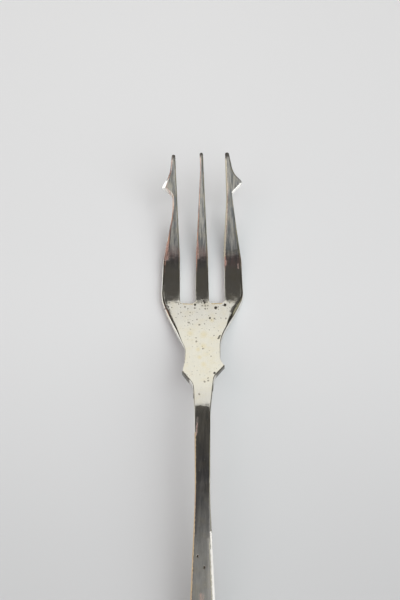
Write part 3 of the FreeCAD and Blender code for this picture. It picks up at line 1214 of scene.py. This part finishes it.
@dataclass(frozen=True)
class SilverPlate:
    """Worn, polished silver plate: streaked tines, a pitted bowl, copper showing through, and painted
    highlights and painted shade along some edges.

    Ramps with along in their names work on the distance from the middle tip, in millimetres.
    """

    datum: Vector
    name: str = "silver_plate"
    silver: Tone = Tone(0.83, 0.81, 0.765)
    dull_silver: Tone = Tone(0.33, 0.35, 0.365)
    yellow: Tone = Tone(0.80, 0.70, 0.46)
    speck: Tone = Tone(0.16, 0.14, 0.10)
    upper_side: Ramp = Ramp(-0.35, -0.1)
    haze: Grain = Grain(0.5, 4.0)
    haze_roughness: Ramp = Ramp(0.35, 0.75, 0.09, 0.14)
    worn_roughness: float = 0.45
    patches: Grain = Grain(1.0, 3.0, 0.6, (2.2, 0.4, 0.0))
    patch_gaps: Ramp = Ramp(0.4, 0.62)
    wobble: Grain = Grain(2.2, 3.0)
    wobble_reach: float = 0.4
    spot_squeeze: float = 0.68
    mark_fade: float = 1.15
    broad_streaks: Grain = Grain(1.0, 5.0, 0.62, (1.5, 0.16, 0.0))
    fine_streaks: Grain = Grain(1.0, 3.0, 0.6, (6.0, 0.3, 0.0))
    fine_share: float = 0.35
    streak_edge: Ramp = Ramp(0.40, 0.60)
    tine_streaks_along: Ramp = Ramp(24.0, 29.0, 1.0, 0.05)
    neck_streaks_along: Ramp = Ramp(71.0, 76.0, 0.0, 0.45)
    handle_relief_along: Ramp = Ramp(95.0, 106.0, 0.0, 0.2)
    cloud: Grain = Grain(0.35, 5.0, 0.6)
    cloud_share: Ramp = Ramp(0.42, 0.75, 0.0, 0.3)
    speck_cells: float = 1.9
    speck_size: Ramp = Ramp(0.35, 1.0, 0.0, 0.30)
    speck_least: float = 0.001
    speck_edge: Ramp = Ramp(0.5, 1.2, 0.7, 0.0)
    speck_dull: float = 0.3
    small_specks_along: Ramp = Ramp(40.0, 52.0, 1.0, 0.6)
    first_specks_along: Ramp = Ramp(35.0, 38.0)
    last_specks_along: Ramp = Ramp(66.0, 74.0, 1.0, 0.3)
    wave: Grain = Grain(0.45, 2.0)
    wave_height_along: Ramp = Ramp(68.0, 82.0, 0.035, 0.006)
    scratches: Grain = Grain(1.0, 2.0, 0.5, (7.0, 0.5, 0.0))
    scratch_height: float = 0.0022
    pit_depth: float = 0.03

    def build(self) -> bpy.types.Material:
        """Make the material.

        Returns:
            The finished material.
        """
        material = bpy.data.materials.new(self.name)
        material.use_nodes = True
        tools = NodeTools(material.node_tree)
        ground = self.ground(tools)
        colour = tools.mix(self.streaks(ground), self.silver, self.dull_silver)
        colour = tools.mix(self.clouds(ground), colour, self.yellow)
        specks = tools.times(self.specks(ground), ground.upper)
        colour = tools.mix(specks, colour, self.speck)
        metal = tools.math("SUBTRACT", 1.0, tools.times(specks, self.speck_dull))
        ragged = self.ragged(ground)
        hollow = specks
        gaps = tools.steps(tools.noise(ground.place, self.patches).outputs[0], self.patch_gaps)
        # Each layer paints its colour: real wear and stains, and also the painted highlights and painted
        # shade.
        for wear in WEAR:
            mask = tools.times(self.mask(ragged, wear), ground.upper)
            left = tools.math("SUBTRACT", 1.0, tools.times(gaps, wear.patchy))
            mask = tools.times(mask, tools.times(left, wear.share))
            colour = tools.mix(mask, colour, wear.tone)
            kept = tools.math("SUBTRACT", 1.0, tools.times(mask, wear.dull))
            metal = tools.times(metal, kept)
            if wear.marks is DEEP_PITS:
                hollow = tools.math("MAXIMUM", hollow, mask)

        rough = tools.steps(tools.noise(ground.place, self.haze).outputs[0], self.haze_roughness)
        worn = tools.times(tools.math("SUBTRACT", 1.0, metal), self.worn_roughness)
        shader = tools.add("ShaderNodeBsdfPrincipled")
        tools.feed(shader.inputs["Metallic"], metal)
        tools.feed(shader.inputs["Base Color"], colour)
        tools.feed(shader.inputs["Roughness"], tools.math("ADD", rough, worn))
        tools.feed(shader.inputs["Normal"], self.surface(ground, hollow))
        out = tools.add("ShaderNodeOutputMaterial")
        tools.feed(out.inputs["Surface"], shader.outputs["BSDF"])
        return material

    def ground(self, tools: NodeTools) -> Ground:
        """Find where a point of the metal is.

        Args:
            tools: the material's nodes.

        Returns:
            Its place and side.
        """
        source = tools.add("ShaderNodeTexCoord")
        from_datum = tools.vector("SUBTRACT", source.outputs["Object"], tuple(self.datum)).outputs[0]
        place = tools.vector("MULTIPLY", from_datum, (1 / MM, 1 / MM, 0.0)).outputs[0]
        from_tip = tools.times(tools.split(place)["Y"], -1.0)
        upper = tools.steps(tools.split(source.outputs["Normal"])["Z"], self.upper_side)
        return Ground(tools, place, from_tip, upper)

    def ragged(self, ground: Ground) -> Ground:
        """Shift the place by noise, so that marks get ragged edges.

        Args:
            ground: where the point is.

        Returns:
            The same with the place shifted.
        """
        tools = ground.tools
        wobble = tools.noise(ground.place, self.wobble)
        shift = tools.vector("SUBTRACT", wobble.outputs["Color"], (0.5, 0.5, 0.5)).outputs[0]
        shift = tools.vector("MULTIPLY", shift, (self.wobble_reach, self.wobble_reach, 0.0)).outputs[0]
        return replace(ground, place=tools.vector("ADD", ground.place, shift).outputs[0])

    def streaks(self, ground: Ground) -> Socket:
        """Streak the metal lengthwise: strongly on the tines, less past the neck, else faintly.

        Args:
            ground: where the point is.

        Returns:
            How dull the metal is.
        """
        tools = ground.tools
        broad = tools.noise(ground.place, self.broad_streaks).outputs[0]
        fine = tools.noise(ground.place, self.fine_streaks).outputs[0]
        broad = tools.times(broad, 1 - self.fine_share)
        both = tools.math("ADD", broad, tools.times(fine, self.fine_share))
        strength = tools.steps(ground.from_tip, self.tine_streaks_along)
        strength = tools.math("ADD", strength, tools.steps(ground.from_tip, self.neck_streaks_along))
        relief = tools.steps(ground.from_tip, self.handle_relief_along)
        strength = tools.math("SUBTRACT", strength, relief)
        return tools.math("MULTIPLY", tools.steps(both, self.streak_edge), strength, clamp=True)

    def clouds(self, ground: Ground) -> Socket:
        """Return how yellow the plating is: in faint clouds."""
        return ground.tools.steps(ground.tools.noise(ground.place, self.cloud).outputs[0], self.cloud_share)

    def specks(self, ground: Ground) -> Socket:
        """Scatter small specks, most of all where the bowl starts.

        Args:
            ground: where the point is.

        Returns:
            How strong a speck is.
        """
        tools = ground.tools
        cells = tools.add("ShaderNodeTexVoronoi")
        tools.feed(cells.inputs["Vector"], ground.place)
        cells.inputs["Scale"].default_value = self.speck_cells
        size = tools.steps(tools.split(cells.outputs["Color"])["X"], self.speck_size)
        for along in (self.small_specks_along, self.first_specks_along, self.last_specks_along):
            size = tools.times(size, tools.steps(ground.from_tip, along))
        inside = tools.math("DIVIDE", cells.outputs["Distance"], tools.math("ADD", size, self.speck_least))
        return tools.steps(inside, self.speck_edge)

    def surface(self, ground: Ground, hollow: Socket) -> Socket:
        """Bump the metal: slow waves, fine scratches along the fork, and the pits.

        Args:
            ground: where the point is.
            hollow: where the pits and specks are.

        Returns:
            The bumped normal.
        """
        tools = ground.tools
        wave = tools.noise(ground.place, self.wave).outputs[0]
        scratches = tools.noise(ground.place, self.scratches).outputs[0]
        height = tools.times(wave, tools.steps(ground.from_tip, self.wave_height_along))
        height = tools.math("ADD", height, tools.times(scratches, self.scratch_height))
        height = tools.math("SUBTRACT", height, tools.times(hollow, self.pit_depth))
        bump = tools.add("ShaderNodeBump")
        tools.feed(bump.inputs["Height"], height)
        tools.feed(bump.inputs["Strength"], ground.upper)
        bump.inputs["Distance"].default_value = MM
        return bump.outputs["Normal"]

    def mask(self, ground: Ground, wear: Wear) -> Socket:
        """Find where one kind of mark is: real wear, or a painted highlight or painted shade.

        Args:
            ground: where the point is.
            wear: the kind of mark, real wear or painted light.

        Returns:
            The strongest of its marks at each place.
        """
        total = None
        for mark in wear.marks:
            fade = Ramp(mark.radius * wear.firm, mark.radius * self.mark_fade, 1.0, 0.0)
            here = ground.tools.steps(self.distance(ground, mark), fade)
            total = here if total is None else ground.tools.math("MAXIMUM", total, here)
        return total

    def distance(self, ground: Ground, mark: Spot | Stroke) -> Socket:
        """Measure from a stroke's line or from a spot's middle, spots being longer than wide.

        Args:
            ground: where the point is.
            mark: the spot or stroke.

        Returns:
            The distance in millimetres, across the fork for a spot.
        """
        tools = ground.tools
        start = Vector((mark.across, -mark.from_tip, 0.0))
        from_start = tools.vector("SUBTRACT", ground.place, tuple(start)).outputs[0]
        if isinstance(mark, Spot):
            squeezed = tools.vector("MULTIPLY", from_start, (1.0, self.spot_squeeze, 0.0)).outputs[0]
            return tools.vector("LENGTH", squeezed).outputs["Value"]
        way = Vector((mark.end_across, -mark.end_from_tip, 0.0)) - start
        along = tools.vector("DOT_PRODUCT", from_start, tuple(way / way.length_squared)).outputs["Value"]
        share = tools.math("ADD", along, 0.0, clamp=True)
        nearest = tools.vector("SCALE", tuple(way))
        tools.feed(nearest.inputs["Scale"], share)
        return tools.vector("DISTANCE", from_start, nearest.outputs[0]).outputs["Value"]


def main() -> None:
    """Build the fork, its finish and the studio."""
    logging.basicConfig(level=logging.INFO, format="%(message)s")
    bpy.context.scene.view_settings.view_transform = "Standard"
    StudioWorld().build()
    Studio().build()
    plate = ForkPlate()
    fork = plate.build()
    fork.data.materials.append(SilverPlate(plate.datum).build())
    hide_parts("pickle_fork")
    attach(fork, "root")


if __name__ == "__main__":
    main()
